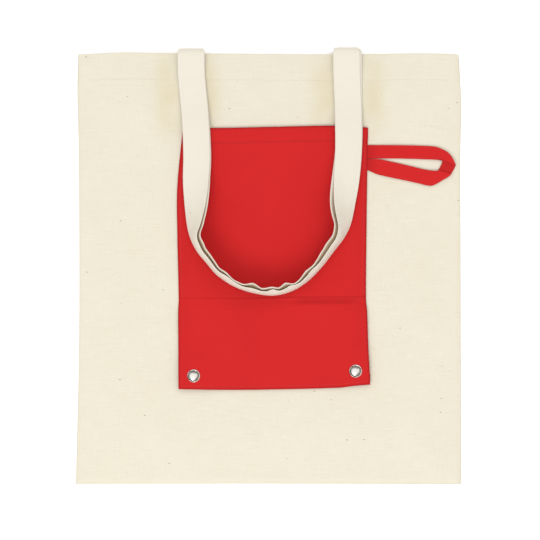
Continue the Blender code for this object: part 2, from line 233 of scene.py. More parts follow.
def woven(name, colour, dark, light, deep, yarn, depth, slub=0.5, fleck=None, sheen=0.05):
    """Plain-woven cotton. The cloth's UV map is in metres, and yarn is the spacing of its threads.

    Slub is how uneven the threads are, depth how far they stand up, fleck the colour of bits of husk, and
    deep the colour of painted shade, laid on where a piece's tint attribute says.
    """
    n = Nodes(bpy.data.materials.new(name))
    place = n.add("ShaderNodeUVMap", {"uv_map": "cloth"}).outputs[0]
    wander = n.noise(place, 90.0, 2.0)
    nudge = n.math("MULTIPLY", n.math("SUBTRACT", wander, 0.5), yarn * 1.2)
    parts = n.add("ShaderNodeSeparateXYZ", Vector=place)
    turn = math.pi / yarn
    across = n.math("MULTIPLY", n.math("ADD", parts.outputs[0], nudge), turn)
    along = n.math("MULTIPLY", n.math("ADD", parts.outputs[1], nudge), turn)
    warp = n.math("ABSOLUTE", n.math("SINE", across))
    weft = n.math("ABSOLUTE", n.math("SINE", along))
    over = n.math("MULTIPLY", n.math("COSINE", across), n.math("COSINE", along))
    over = n.math("MULTIPLY_ADD", over, 0.5, 0.5)
    thread = n.math("MULTIPLY", n.math("POWER", warp, 0.6), n.math("POWER", weft, 0.6))
    cell = n.math("MULTIPLY_ADD", over, 0.45, n.math("MULTIPLY", thread, 0.55))

    # thick places in single threads, along each way of the weave
    long_weft = n.noise(n.stretched(place, (38.0, 1.0 / yarn, 1.0)), 1.0, 1.0)
    long_warp = n.noise(n.stretched(place, (1.0 / yarn, 38.0, 1.0)), 1.0, 1.0)
    slub_weft = n.band(long_weft, 0.60, 0.78)
    slub_warp = n.band(long_warp, 0.64, 0.82)
    slubs = n.math("MAXIMUM", slub_weft, n.math("MULTIPLY", slub_warp, 0.7))
    streak = n.math("ADD", n.math("SUBTRACT", long_weft, 0.5), n.math("SUBTRACT", long_warp, 0.5))

    # the weave's height, then its colour: clouds, uneven threads along and across it, and fuzz
    height = n.math("MULTIPLY_ADD", slubs, 0.9 * slub, cell)
    height = n.math("MULTIPLY_ADD", streak, 0.5 * slub, height)

    cloudy = n.noise(place, 16.0, 3.0)
    fuzzy = n.noise(place, 1400.0, 2.0)
    bars = n.noise(n.stretched(place, (60.0, 760.0, 1.0)), 1.0, 2.0)
    posts = n.noise(n.stretched(place, (760.0, 90.0, 1.0)), 1.0, 2.0)
    shade = n.mix(n.band(cloudy, 0.5 - CLOUD_SPREAD, 0.5 + CLOUD_SPREAD), dark, light)
    shade = n.mix(0.45, shade, colour)
    tone = n.math("MULTIPLY_ADD", n.math("SUBTRACT", cell, 0.5), 0.20, 0.5)
    tone = n.math("MULTIPLY_ADD", streak, 0.55 * slub, tone)
    tone = n.math("MULTIPLY_ADD", n.math("SUBTRACT", fuzzy, 0.5), 0.25, tone)
    tone = n.math("MULTIPLY_ADD", n.math("SUBTRACT", bars, 0.5), 0.9 * slub, tone)
    tone = n.math("MULTIPLY_ADD", n.math("SUBTRACT", posts, 0.5), 0.6 * slub, tone)
    shade = n.mix(n.band(tone, 0.36, 0.0), shade, dark)
    shade = n.mix(n.band(tone, 0.60, 1.0), shade, light)
    if fleck:
        spots = n.add("ShaderNodeTexVoronoi", {"feature": "F1"},
                      Vector=n.stretched(place, (120.0, 260.0, 1.0)), Scale=1.0)
        pick = n.add("ShaderNodeSeparateColor", Color=spots.outputs[1]).outputs[0]
        chosen = n.band(pick, 0.955, 0.965)
        near = n.band(spots.outputs[0], 0.16, 0.08)
        shade = n.mix(n.math("MULTIPLY", n.math("MULTIPLY", chosen, near), 0.6), shade, fleck)
    # painted shade, with some random tone on the pouch: the tint attribute takes the colour towards the
    # deep one
    painted_shade_and_tone = n.add("ShaderNodeAttribute", {"attribute_name": "tint"}).outputs["Fac"]
    shade = n.mix(painted_shade_and_tone, shade, deep)
    n.feed(n.shader, "Base_Color", shade)
    pressed = n.add("ShaderNodeBump", Strength=0.75, Distance=depth, Height=height)
    n.feed(n.shader, "Normal", pressed)
    n.shader.inputs["Roughness"].default_value = 0.9
    n.shader.inputs["Specular IOR Level"].default_value = 0.25
    n.shader.inputs["Sheen Weight"].default_value = sheen
    n.shader.inputs["Sheen Roughness"].default_value = 0.5
    return n.owner


def spun_thread(name, colour, dark):
    """Sewing thread, twisted round its length."""
    n = Nodes(bpy.data.materials.new(name))
    place = n.add("ShaderNodeTexCoord").outputs["Object"]
    twist = n.add("ShaderNodeTexWave", {"bands_direction": "DIAGONAL"}, Vector=place, Scale=900.0,
                  Distortion=1.0).outputs[1]
    n.feed(n.shader, "Base_Color", n.mix(n.math("MULTIPLY", twist, 0.6), colour, dark))
    n.feed(n.shader, "Normal", n.add("ShaderNodeBump", Strength=0.5, Distance=0.00006, Height=twist))
    n.shader.inputs["Roughness"].default_value = 0.75
    n.shader.inputs["Sheen Weight"].default_value = 0.2
    return n.owner


def nickel(name):
    """Nickel plate with fine handling scratches, and a painted dark reflection round the foot of each
    dome.
    """
    n = Nodes(bpy.data.materials.new(name))
    place = n.add("ShaderNodeTexCoord").outputs["Object"]
    scratch = n.noise(n.stretched(place, (300.0, 6000.0, 900.0)), 1.0, 3.0)
    patches = n.noise(place, 260.0, 3.0)
    away = n.add("ShaderNodeVectorMath", {"operation": "LENGTH"}, _0=n.stretched(place, (1.0, 1.0, 0.0)))
    uneven = n.math("MULTIPLY_ADD", n.math("SUBTRACT", patches, 0.5), 0.0050, away.outputs[1])
    # a painted dark reflection: a dark ring round the foot of each dome, with an uneven edge
    ring = n.math("MULTIPLY", n.band(uneven, 0.0026, 0.0046), n.band(uneven, 0.0060, 0.0054))
    shade = n.mix(n.band(patches, 0.35, 0.75), (0.80, 0.78, 0.74, 1), (0.62, 0.59, 0.54, 1))
    shade = n.mix(n.math("MULTIPLY", ring, 0.85), shade, (0.14, 0.12, 0.10, 1))
    n.feed(n.shader, "Base_Color", shade)
    n.feed(n.shader, "Roughness", n.add("ShaderNodeMapRange", Value=scratch, To_Min=0.16, To_Max=0.32))
    n.feed(n.shader, "Normal", n.add("ShaderNodeBump", Strength=0.12, Distance=0.00003, Height=scratch))
    n.shader.inputs["Metallic"].default_value = 1.0
    return n.owner


def floor_look():
    """A plain white floor, which glows a little so that shadows on it stay faint."""
    n = Nodes(bpy.data.materials.new("floor_look"))
    n.shader.inputs["Base Color"].default_value = (0.95, 0.95, 0.95, 1)
    n.shader.inputs["Roughness"].default_value = 0.95
    n.shader.inputs["Specular IOR Level"].default_value = 0.1
    n.shader.inputs["Emission Color"].default_value = (1, 1, 1, 1)
    n.shader.inputs["Emission Strength"].default_value = 0.16
    return n.owner


# Each deep colour is painted shade: in the canvas's hollows, between the straps, and in the red cloth's
# folds, creases and edges.
CANVAS_LOOK = woven("canvas_look", colour=(0.702, 0.655, 0.534, 1), dark=(0.63, 0.56, 0.41, 1),
                    light=(0.77, 0.74, 0.645, 1), deep=(0.62, 0.53, 0.34, 1), fleck=(0.20, 0.13, 0.07, 1),
                    yarn=0.00075, slub=0.9, depth=0.00016)
STRAP_LOOK = woven("strap_look", colour=(0.715, 0.665, 0.570, 1), dark=(0.66, 0.60, 0.49, 1),
                   light=(0.77, 0.73, 0.65, 1), deep=(0.43, 0.31, 0.18, 1), fleck=(0.32, 0.24, 0.14, 1),
                   yarn=0.00060, slub=0.5, depth=0.00012)
RED_LOOK = woven("red_look", colour=(0.55, 0.0115, 0.012, 1), dark=(0.46, 0.0085, 0.0090, 1),
                 light=(0.62, 0.019, 0.020, 1), deep=(0.30, 0.006, 0.007, 1),
                 yarn=0.00055, slub=0.45, sheen=0.0, depth=0.00010)
CREAM_THREAD = spun_thread("cream_thread", (0.73, 0.685, 0.57, 1), (0.60, 0.54, 0.41, 1))
RED_THREAD = spun_thread("red_thread", (0.58, 0.020, 0.021, 1), (0.40, 0.010, 0.011, 1))
NICKEL = nickel("nickel_plate")


# ---------------------------------------------------------------- building cloth

def distances(points):
    """How far along a line of points each one is."""
    made = [0.0]
    for a, b in zip(points, points[1:]):
        made.append(made[-1] + (Vector(b) - Vector(a)).length)
    return made


def new_object(name, mesh, look):
    """A new piece in the scene."""
    made = bpy.data.objects.new(name, mesh)
    mesh.materials.append(look)
    bpy.context.scene.collection.objects.link(made)
    return made


def baked(made):
    """Turns a piece's modifiers into its mesh."""
    graph = bpy.context.evaluated_depsgraph_get()
    mesh = bpy.data.meshes.new_from_object(made.evaluated_get(graph))
    old = made.data
    made.modifiers.clear()
    made.data = mesh
    bpy.data.meshes.remove(old)
    mesh.name = made.name
    return made


def cloth(name, rows, thickness, look, pinch=0.0, tint=None):
    """A sheet of cloth from rows of middle points. Each row runs across it, and its UV map is in metres.

    Tint gives how far the cloth's colour goes towards its deep one, which is painted shade, and pinch
    rounds the sheet's edges.
    """
    mesh = bpy.data.meshes.new(name)
    shape = bmesh.new()
    shaded = shape.verts.layers.float.new("tint")
    verts = [[shape.verts.new(p) for p in row] for row in rows]
    if tint:
        for row in verts:
            for i, vert in enumerate(row):
                vert[shaded] = tint(vert.co.x, vert.co.y, i / (len(row) - 1))
    uv = shape.loops.layers.uv.new("cloth")
    middle = len(rows[0]) // 2
    down = distances([row[middle] for row in rows])
    across = [distances(row) for row in rows]
    for j in range(len(rows) - 1):
        for i in range(len(rows[0]) - 1):
            corners = ((j, i), (j, i + 1), (j + 1, i + 1), (j + 1, i))
            face = shape.faces.new([verts[jj][ii] for jj, ii in corners])
            face.smooth = True
            for loop, (jj, ii) in zip(face.loops, corners):
                loop[uv].uv = (across[jj][ii], down[jj])
    shape.to_mesh(mesh)
    shape.free()
    made = new_object(name, mesh, look)
    solid = made.modifiers.new("thickness", "SOLIDIFY")
    solid.thickness = thickness
    solid.offset = 0
    solid.use_even_offset = False
    if pinch:
        soften = made.modifiers.new("soft edge", "BEVEL")
        soften.width = pinch
        soften.segments = 2
        soften.limit_method = "ANGLE"
        soften.angle_limit = math.radians(60)
    return baked(made)


STITCH_SHARE = 0.78
STITCH_SIDES = 6
# How far along a stitch each ring is, then its size and its rise as shares of the thread's radius.
STITCH_RINGS = ((0.0, 0.30, -1.0), (0.12, 0.85, -0.1), (0.5, 1.0, 0.35), (0.88, 0.85, -0.1),
                (1.0, 0.30, -1.0))


def stitches(name, path, look, pitch, radius):
    """A row of separate stitches along a path. Each stands proud at its middle and dips in at its ends."""
    mesh = bpy.data.meshes.new(name)
    shape = bmesh.new()
    points = [Vector(p) for p in path]
    run = distances(points)
    count = max(1, int(run[-1] / pitch))
    up = Vector((0, 0, 1))

    def at(s):
        """The place s along the path, and the way it runs there."""
        s = min(max(s, 0.0), run[-1])
        for i in range(len(points) - 1):
            if s <= run[i + 1] or i == len(points) - 2:
                span = max(run[i + 1] - run[i], 1e-9)
                way = points[i + 1] - points[i]
                return points[i] + way * ((s - run[i]) / span), way.normalized()

    turn = [2 * math.pi * i / STITCH_SIDES for i in range(STITCH_SIDES)]
    for k in range(count):
        start = (k + (1 - STITCH_SHARE) / 2) * run[-1] / count
        length = STITCH_SHARE * run[-1] / count
        loops = []
        for where, size, rise in STITCH_RINGS:
            centre, way = at(start + length * where)
            side = way.cross(up).normalized()
            centre = centre + up * (rise * radius)
            loops.append([shape.verts.new(centre + (side * math.cos(a) + up * math.sin(a)) * radius * size)
                          for a in turn])
        for a, b in zip(loops, loops[1:]):
            for i in range(STITCH_SIDES):
                following = (i + 1) % STITCH_SIDES
                shape.faces.new((a[i], a[following], b[following], b[i])).smooth = True
        shape.faces.new(loops[0][::-1])
        shape.faces.new(loops[-1])
    bmesh.ops.recalc_face_normals(shape, faces=shape.faces)
    shape.to_mesh(mesh)
    shape.free()
    return new_object(name, mesh, look)


CREAM_ROW = {"look": CREAM_THREAD, "slot": "cotton_thread", "pitch": 0.0030, "radius": 0.00026}


def sew(name, path, body, node, look=RED_THREAD, slot="red_thread", pitch=0.0026, radius=0.00020):
    """A row of stitches that rides on a body and stands for a CAD node."""
    row = stitches(name, path, look, pitch, radius)
    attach(row, body)
    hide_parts(node)


# ---------------------------------------------------------------- the bag

# The outline: y and x down the sides, x and y along the mouth and the bottom.
BAG_LEFT = ((BAG_LOW.y, -0.1900), (-0.066, -0.1868), (0.114, -0.1872), (0.173, -0.1885),
            (BAG_HIGH.y, -0.1878))
BAG_RIGHT = ((BAG_LOW.y, 0.1899), (0.040, 0.1892), (0.104, 0.1890), (0.158, 0.1899), (0.188, 0.1886),
             (BAG_HIGH.y, 0.1874))
MOUTH_EDGE = ((-0.190, 0.2073), (-0.146, 0.2090), (-0.090, 0.2084), (0.0, 0.2076), (0.095, 0.2074),
              (0.160, 0.2084), (0.190, 0.2074))
BOTTOM_EDGE = ((-0.190, BAG_LOW.y), (0.0, BAG_LOW.y + 0.0004), (0.190, BAG_LOW.y - 0.0004))
# How far in from its seams the front rises off the back: a third of it steeply, and the rest slowly.
EDGE_RISE = 0.006
SEAM_RISE = 0.055
SEAM_LEVEL = 0.0011
# The straps' sewn ends inside the mouth: x of their middles, and y where the cloth starts to show them.
TAIL_MIDDLES = (-0.0755, 0.0785)
TAILS_SHOW = 0.120
# Yellower painted shade in the hollows beside the straps: the middle of each, its reach and its depth of
# colour.
HOLLOWS = ((-0.099, 0.019, 0.60), (-0.060, 0.020, 0.62), (0.058, 0.026, 0.62), (0.104, 0.020, 0.60))


def bag_place(u, v):
    """A place on the panels' outline, with u from left to right and v from the bottom to the mouth."""
    y = BAG_LOW.y + (BAG_HIGH.y - BAG_LOW.y) * v
    left = curve_at(BAG_LEFT, y)
    x = left + (curve_at(BAG_RIGHT, y) - left) * u
    y = curve_at(BOTTOM_EDGE, x) * (1 - v) + curve_at(MOUTH_EDGE, x) * v
    return x, y


def seam_inset(x, y):
    """The distance to the nearest sewn edge."""
    return min(x - curve_at(BAG_LEFT, y), curve_at(BAG_RIGHT, y) - x, y - BAG_LOW.y)


def over(value, low, high, spread=0.012):
    """1 well between low and high, and 0 outside them, for the cloth that lies over something."""
    return smooth((high - value) / spread) * smooth((value - low) / spread)


def mouth_hem(x):
    """Where the mouth hem's row of stitches runs."""
    return curve_at(MOUTH_EDGE, x) - HEM_DEPTH


def front_height(x, y):
    """The front panel's middle: down on the back at the seams, and over the straps' ends at the mouth."""
    inset = max(seam_inset(x, y), 0.0)
    under = over(x, FLAP_LOW.x - 0.004, POUCH_HIGH.x + 0.004)
    under *= over(y, FLAP_LOW.y - 0.004, POUCH_HIGH.y + 0.004)
    top = FRONT_TOP - CANVAS / 2 - 0.0008 + 0.0006 * under
    rise = 0.35 * smooth(inset / EDGE_RISE) + 0.65 * smooth(inset / SEAM_RISE)
    z = SEAM_LEVEL + (top - SEAM_LEVEL) * rise
    calm = smooth(inset / 0.03) * (1 - 0.8 * under)
    z += calm * (0.0006 * ripple(x, y, 0.11, 1.0) + 0.00035 * ripple(x, y, 0.045, 2.0))
    # tails push the hem up, and the cloth sinks a little between them
    near_mouth = smooth((y - TAILS_SHOW) / 0.075)
    for middle in TAIL_MIDDLES:
        z += near_mouth * 0.0009 * bump((x - middle) / 0.026)
        z -= near_mouth * 0.0007 * bump((abs(x - middle) - 0.030) / 0.022)
    z -= 0.00014 * bump((y - mouth_hem(x)) / 0.0014)
    return z


def front_tint(x, y, share):
    """Soft yellower painted shade in the hollows on both sides of each handle's sewn ends, and slightly
    darker cloth along the seams.
    """
    tint = 0.0
    up = smooth((y - 0.110) / 0.050) * (0.45 + 0.55 * smooth((0.205 - y) / 0.030))
    for middle, reach, depth in HOLLOWS:
        wander = 0.004 * ripple(x * 0.2, y, 0.035, middle * 100)
        broken = 0.75 + 0.5 * ripple(x, y, 0.016, 9.0)
        tint += depth * bump((x - middle - wander) / reach) * broken
    tint *= up
    tint += 0.10 * (1 - smooth(max(seam_inset(x, y), 0.0) / 0.004))
    return min(max(tint, 0.0), 1.0)


def back_height(x, y):
    """The back panel's middle, flat on the floor."""
    inset = max(seam_inset(x, y), 0.0)
    return CANVAS / 2 + 0.0001 + 0.00008 * smooth(inset / 0.01)


MOUTH_TURN = 0.00045


def hemmed_rows(height, inward, columns):
    """Rows from the bottom to the mouth, then over the mouth and back down inside as the hem."""
    lengthways = spaced(BAG_LOW.y, BAG_HIGH.y, 0.0045, (BAG_LOW.y, 0.006, 0.001),
                        (BAG_HIGH.y - HEM_DEPTH, 0.002, 0.0007), (BAG_HIGH.y, 0.003, 0.001))
    rows = []
    for y_mid in lengthways:
        v = (y_mid - BAG_LOW.y) / (BAG_HIGH.y - BAG_LOW.y)
        row = []
        for u in columns:
            x, y = bag_place(u, v)
            row.append((x, y, height(x, y)))
        rows.append(row)
    edge = rows[-1]
    for angle in range(30, 181, 30):
        a = math.radians(angle)
        out = MOUTH_TURN * math.sin(a)
        down = inward * MOUTH_TURN * (1 - math.cos(a))
        rows.append([(x, y + out, z + down) for x, y, z in edge])
    for back in (0.0015, 0.004, 0.008, 0.013, 0.018, 0.022, HEM_DEPTH - 0.0005, HEM_DEPTH + 0.001):
        rows.append([(x, y - back, height(x, y - back) + inward * 2 * MOUTH_TURN) for x, y, z in edge])
    return rows


def bag_panels():
    """The two canvas panels, and the row of stitches along each one's mouth hem."""
    columns = spaced(0.0, 1.0, 0.0100, (0.0, 0.018, 0.003), (1.0, 0.018, 0.003))
    front = cloth("bag_front_canvas", hemmed_rows(front_height, -1, columns), CANVAS, CANVAS_LOOK,
                  tint=front_tint)
    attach(front, "bag")
    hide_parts("bag_front")

    back = cloth("bag_back_canvas", hemmed_rows(back_height, 1, columns), CANVAS, CANVAS_LOOK)
    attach(back, "bag")
    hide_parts("bag_back")

    line = [(x, mouth_hem(x)) for x in evenly(-0.1870, 0.1860, 60)]
    outside = [(x, y, front_height(x, y) + CANVAS / 2) for x, y in line]
    sew("mouth_stitching_front", outside, "bag", "mouth_stitch_front", **CREAM_ROW)
    inside = [(x, y, back_height(x, y) + CANVAS / 2 + 2 * MOUTH_TURN) for x, y in line]
    sew("mouth_stitching_back", inside, "bag", "mouth_stitch_back", **CREAM_ROW)


# ---------------------------------------------------------------- the handles

def smooth_route(points, steps):
    """Points on a smooth curve through the given points, steps to each stretch."""
    last = len(points) - 1
    made = []
    for i in range(last):
        before, start, end, after = (Vector(points[min(max(i + k, 0), last)]) for k in (-1, 0, 1, 2))
        for step in range(steps):
            t = step / steps
            made.append(
                start
                + (end - before) * (t / 2)
                + (2 * before - 5 * start + 4 * end - after) * (t * t / 2)
                + (3 * start - before - 3 * end + after) * (t * t * t / 2)
            )
    made.append(Vector(points[-1]))
    return made


ROUTE_STEPS = 6
# The straps' level over the pouch, how much they rise towards the loop's bottom and settle near the mouth,
# and how far apart the two are.
STRAP_BASE = 0.0094
STRAP_LIFT = 0.0024
STRAP_SETTLE = 0.0030
STRAP_PITCH = 0.00175
STAND_PITCH = 0.0004
# Where the straps fold over the mouth, how much lower the left one does, and y along their ends inside.
FOLD_Y = 0.2092
LEFT_FOLD_DROP = 0.0011
TAIL_PLACES = (0.1720, 0.180, 0.188, 0.196, 0.203, 0.2075)
# x, y, reach and size of each buckle in the lower strap's top edge, and of each place where the two touch.
BUCKLES = ((-0.0170, -0.0262, 0.0105, 0.0036), (0.0190, -0.0262, 0.0100, 0.0038),
           (-0.046, -0.013, 0.012, 0.0012), (0.0040, -0.0290, 0.0130, 0.0024),
           (0.042, -0.012, 0.012, 0.0018))
TOUCHES = ((-0.0365, -0.0185, 0.0170, 0.62), (0.0050, -0.0290, 0.0080, 0.50),
           (0.0262, -0.0235, 0.0085, 0.62), (0.0470, -0.0070, 0.0100, 0.35))
# A strap's section: how far across it each point is, and its height as a share of half the thickness.
STRAP_SECTION = ((0.0, 0.0), (0.018, 0.62), (0.05, 0.95), (0.085, 0.98), (0.105, 0.80), (0.125, 0.98),
                 (0.3, 1.02), (0.5, 1.0), (0.68, 1.02), (0.76, 1.0), (0.82, 0.98), (0.875, 0.98),
                 (0.895, 0.80), (0.915, 0.98), (0.95, 0.95), (0.982, 0.62), (1.0, 0.0))


def lumps_at(x, y, lumps):
    """The sum at a place of lumps given as x, y, reach and size."""
    return sum(size * bump(math.hypot(x - lx, y - ly) / reach) for lx, ly, reach, size in lumps)


def strap_frames(upper):
    """(outer edge, direction across, curl of the inner edge) down one strap's length, tails and all."""
    route = smooth_route(HANDLE_ROUTE, ROUTE_STEPS)
    middle = []
    for i, (x, y, tilt, inwards) in enumerate(route):
        ahead = route[min(i + 1, len(route) - 1)]
        behind = route[max(i - 1, 0)]
        run = Vector((ahead[0] - behind[0], ahead[1] - behind[1])).normalized()
        inner = Vector((-run.y, run.x, 0))
        stand = smooth((tilt - 30) / 45)
        lean = math.radians(tilt + stand * 1.4 * ripple(x, y, 0.018, 7.0))
        pitch = STRAP_PITCH + STAND_PITCH * math.sin(lean)
        base = STRAP_BASE + STRAP_LIFT * smooth((0.068 - y) / 0.080)
        base -= STRAP_SETTLE * smooth((y - 0.130) / 0.036) * smooth((0.2075 - y) / 0.028)
        edge = Vector((x, y, base + STRAP / 2))
        # the lower strap's top edge buckles inwards, and the upper one's leans over to touch it in places
        opening = inwards + 0.0006 + 0.0008 * ripple(x, y, 0.012, 3.0) + lumps_at(x, y, BUCKLES)
        if upper:
            edge.z += pitch * math.cos(lean)
            curl = inner * stand * (0.30 + lumps_at(x, y, TOUCHES)) * (pitch - STRAP + opening)
        else:
            edge += inner * (pitch * math.sin(lean) + inwards * (1 - stand))
            curl = inner * stand * opening
        across = inner * math.cos(lean) + Vector((0, 0, math.sin(lean)))
        middle.append((edge, across, curl))
    radius = STRAP_BASE + STRAP / 2 - HANDLE_Z + (STRAP_PITCH if upper else 0)
    return tail_frames(middle[0], radius) + middle + tail_frames(middle[-1], radius)[::-1]


def tail_frames(end, radius):
    """From a strap's sewn end, up out of the bag and over the mouth to where its front stretch starts."""
    edge, across, _ = end
    flat = Vector((0, 0, 0))
    fold_y = FOLD_Y - (LEFT_FOLD_DROP if edge.x < 0 else 0.0)
    across = Vector((1 if across.x > 0 else -1, 0, 0))
    frames = []
    for y in TAIL_PLACES:
        frames.append((Vector((edge.x, y, HANDLE_Z - radius)), across, flat))
    for angle in range(0, 180, 12):
        a = math.radians(angle)
        z = HANDLE_Z - radius * math.cos(a)
        frames.append((Vector((edge.x, fold_y + radius * math.sin(a), z)), across, flat))
    return frames


def strap(name, upper):
    """One strap with rounded edges and a shallow channel inside each one, where it is topstitched."""
    frames = strap_frames(upper)
    ring = list(STRAP_SECTION) + [(a, -h) for a, h in STRAP_SECTION[-2:0:-1]]
    mesh = bpy.data.meshes.new(name)
    shape = bmesh.new()
    uv = shape.loops.layers.uv.new("cloth")
    shaded = shape.verts.layers.float.new("tint")
    loops, places = [], []
    run = 0.0
    for i, (edge, across, curl) in enumerate(frames):
        ahead = frames[min(i + 1, len(frames) - 1)][0]
        behind = frames[max(i - 1, 0)][0]
        way = (ahead - behind).normalized()
        normal = across.cross(way).normalized()
        if i:
            run += (edge - frames[i - 1][0]).length
        narrow = 0.0010 * bump((edge.y - HANDLE_Y + 0.0015) / 0.006)
        width = STRAP_WIDTH - 2 * narrow
        section = []
        for a, h in ring:
            bent = edge + across * (narrow + a * width) + curl * smooth((a - 0.72) / 0.28)
            section.append(shape.verts.new(bent + normal * (h * STRAP / 2)))
        loops.append(section)
        # painted shade: browner on the sides that the two straps turn to each other, and a little on all
        # that stands
        stand = smooth(abs(across.z))
        for vert, (a, h) in zip(loops[-1], ring):
            between = h > 0.5 if upper else h < -0.5
            vert[shaded] = stand * (smooth((0.995 - a) / 0.10) if between and a > 0.4 else 0.04)
        places.append(run)
    count = len(ring)
    for j in range(len(loops) - 1):
        for i in range(count):
            k = (i + 1) % count
            face = shape.faces.new((loops[j][i], loops[j][k], loops[j + 1][k], loops[j + 1][i]))
            face.smooth = True
            spots = ((i, j), (k, j), (k, j + 1), (i, j + 1))
            for loop, (ii, jj) in zip(face.loops, spots):
                loop[uv].uv = (ring[ii][0] * STRAP_WIDTH, places[jj])
    for end, order in ((loops[0], -1), (loops[-1], 1)):
        shape.faces.new(end[::order])
    bmesh.ops.recalc_face_normals(shape, faces=shape.faces)
    shape.to_mesh(mesh)
    shape.free()
    return new_object(name, mesh, STRAP_LOOK), places[-1]


def handles():
    """Both straps, and the sewn box that holds each of their ends inside the mouth."""
    for which, upper in (("front", False), ("back", True)):
        piece, length = strap(f"{which}_handle_strap", upper)
        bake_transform(piece)
        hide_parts(f"{which}_handle", f"{which}_handle_tail_left", f"{which}_handle_tail_right")
        for side in ("left", "right"):
            node = f"{which}_handle_stitch_{side}"
            near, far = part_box(node)
            level = (near.z + far.z) / 2 - 0.0001
            crossed_box = ((near.x, near.y), (far.x, near.y), (far.x, far.y), (near.x, far.y),
                           (near.x, near.y), (far.x, far.y))
            if which == "front":
                path = [(x, y, front_height(x, y) + CANVAS / 2) for x, y in crossed_box]
            else:
                path = [(x, y, level) for x, y in crossed_box]
            sew(f"{which}_handle_stitching_{side}", path, "bag", node, **CREAM_ROW)


# ---------------------------------------------------------------- the pouch

# The outline: y and x down the sides, x and y along the flap's free edge and the pouch's top.
POUCH_LEFT = ((-0.1211, -0.0879), (-0.080, -0.0881), (-0.046, -0.0883), (FLAP_HINGE, -0.0878),
              (0.028, -0.0891), (0.0746, -0.0893), (0.131, -0.0843), (0.136, -0.0841))
POUCH_RIGHT = ((-0.1164, 0.0992), (-0.080, 0.0974), (-0.046, 0.0963), (FLAP_HINGE, 0.0952),
               (0.028, 0.0956), (0.0844, 0.0963), (0.136, 0.0972))
FLAP_EDGE = ((-0.089, -0.1209), (-0.040, -0.1217), (0.0014, -0.1213), (0.0675, -0.1196), (0.085, -0.1176),
             (0.0992, -0.1164))
POUCH_EDGE = ((-0.086, 0.1346), (-0.045, 0.1348), (0.0, 0.1357), (0.058, 0.1370), (0.085, 0.1362),
              (0.098, 0.1350))
POUCH_BOTTOM = -0.1190
POUCH_TOP = 0.1350
SEWN_LEVEL = 0.0071
LYING_LEVEL = 0.0085
# How far in from the pouch's sides, and from the flap's free edge, their stitches run.
SIDE_STITCH = 0.0025
FLAP_STITCH = 0.0028
HEM_TURN = 0.00042
TURN_ANGLES = [math.radians(angle) for angle in (45, 90, 135, 180)]


def side_inset(x, y):
    """The distance to the nearer side of the red cloth."""
    return min(x - curve_at(POUCH_LEFT, y), curve_at(POUCH_RIGHT, y) - x)


def pouch_height(x, y):
    """The middle of the red cloth. It is sewn down at its sides and top, and snapped down at its studs."""
    side = max(side_inset(x, y), 0.0)
    bottom = LYING_LEVEL + 0.0022 * smooth((0.060 - y) / 0.080)
    if y >= FLAP_HINGE:
        top = max(curve_at(POUCH_EDGE, x) - y, 0.0)
        rise = smooth(side / 0.022) * smooth(top / 0.012 + 0.35)
        z = SEWN_LEVEL + (bottom - SEWN_LEVEL) * rise
    else:
        below = FLAP_HINGE - y
        ends = (1 - smooth(side / 0.022)) * (1 - smooth(below / 0.028))
        z = bottom - 0.0024 * smooth(below / 0.040) - (bottom - SEWN_LEVEL) * ends
        for snap in SNAPS.values():
            away = math.hypot(x - snap.x, y - snap.y)
            held = 1 - smooth((away - 0.0070) / 0.030)
            z = z * (1 - held) + (FLAP_LOW.z + 0.0002) * held
    # a low swell all over, the side hems' ridge, and the crease along the hinge
    z += 0.00035 * ripple(x, y, 0.060, 4.0) + 0.00018 * ripple(x, y, 0.024, 5.0)
    z += 0.00018 * (1 - smooth((side - SIDE_HEM) / 0.0008 + 0.5))
    z -= crease(x, y)
    stitch_line = curve_at(POUCH_EDGE, x) - POUCH_HEM
    z -= 0.00030 * bump((y - stitch_line) / 0.0013)
    z += 0.00022 * smooth((y - stitch_line) / 0.0012)
    return z


def crease_line(x):
    """Where the flap's crease runs, a little higher towards the right."""
    return FLAP_HINGE + 0.0012 * smooth((x + 0.05) / 0.10)


def crease(x, y):
    """How deep the crease is: a fine fold, with the flap sinking away below it towards the right."""
    line = crease_line(x)
    fine = 0.00045 * bump((y - line) / 0.0011)
    sink = 0.0008 * smooth((x - 0.010) / 0.03) * smooth((0.090 - x) / 0.02) + 0.0002
    below = bump((y - line + 0.0042) / 0.0040)
    return fine + sink * below


def pouch_tint(x, y, share):
    """Painted shade along the edges, in the crease, in the hollow under it towards the right, on the top
    hem's stitch line and the side hems, and some random darker patches.
    """
    side = side_inset(x, y)
    ends = min(curve_at(POUCH_EDGE, x) - y, y - curve_at(FLAP_EDGE, x))
    tint = 0.55 * (1 - smooth(max(min(side, ends), 0.0) / 0.0018))
    line = crease_line(x)
    tint += 0.34 * bump((y - line) / 0.0016) * (0.35 + 0.65 * smooth((x + 0.035) / 0.02))
    hollow = smooth((x - 0.018) / 0.020) * smooth((0.092 - x) / 0.014)
    tint += 0.40 * hollow * bump((y - line + 0.0040) / 0.0048)
    tint += 0.30 * bump((y - curve_at(POUCH_EDGE, x) + POUCH_HEM) / 0.0012)
    tint += 0.05 * (1 - smooth((side - SIDE_HEM) / 0.001 + 0.5))
    tint += 0.10 * max(ripple(x, y, 0.040, 8.0), 0.0)
    return min(max(tint, 0.0), 1.0)


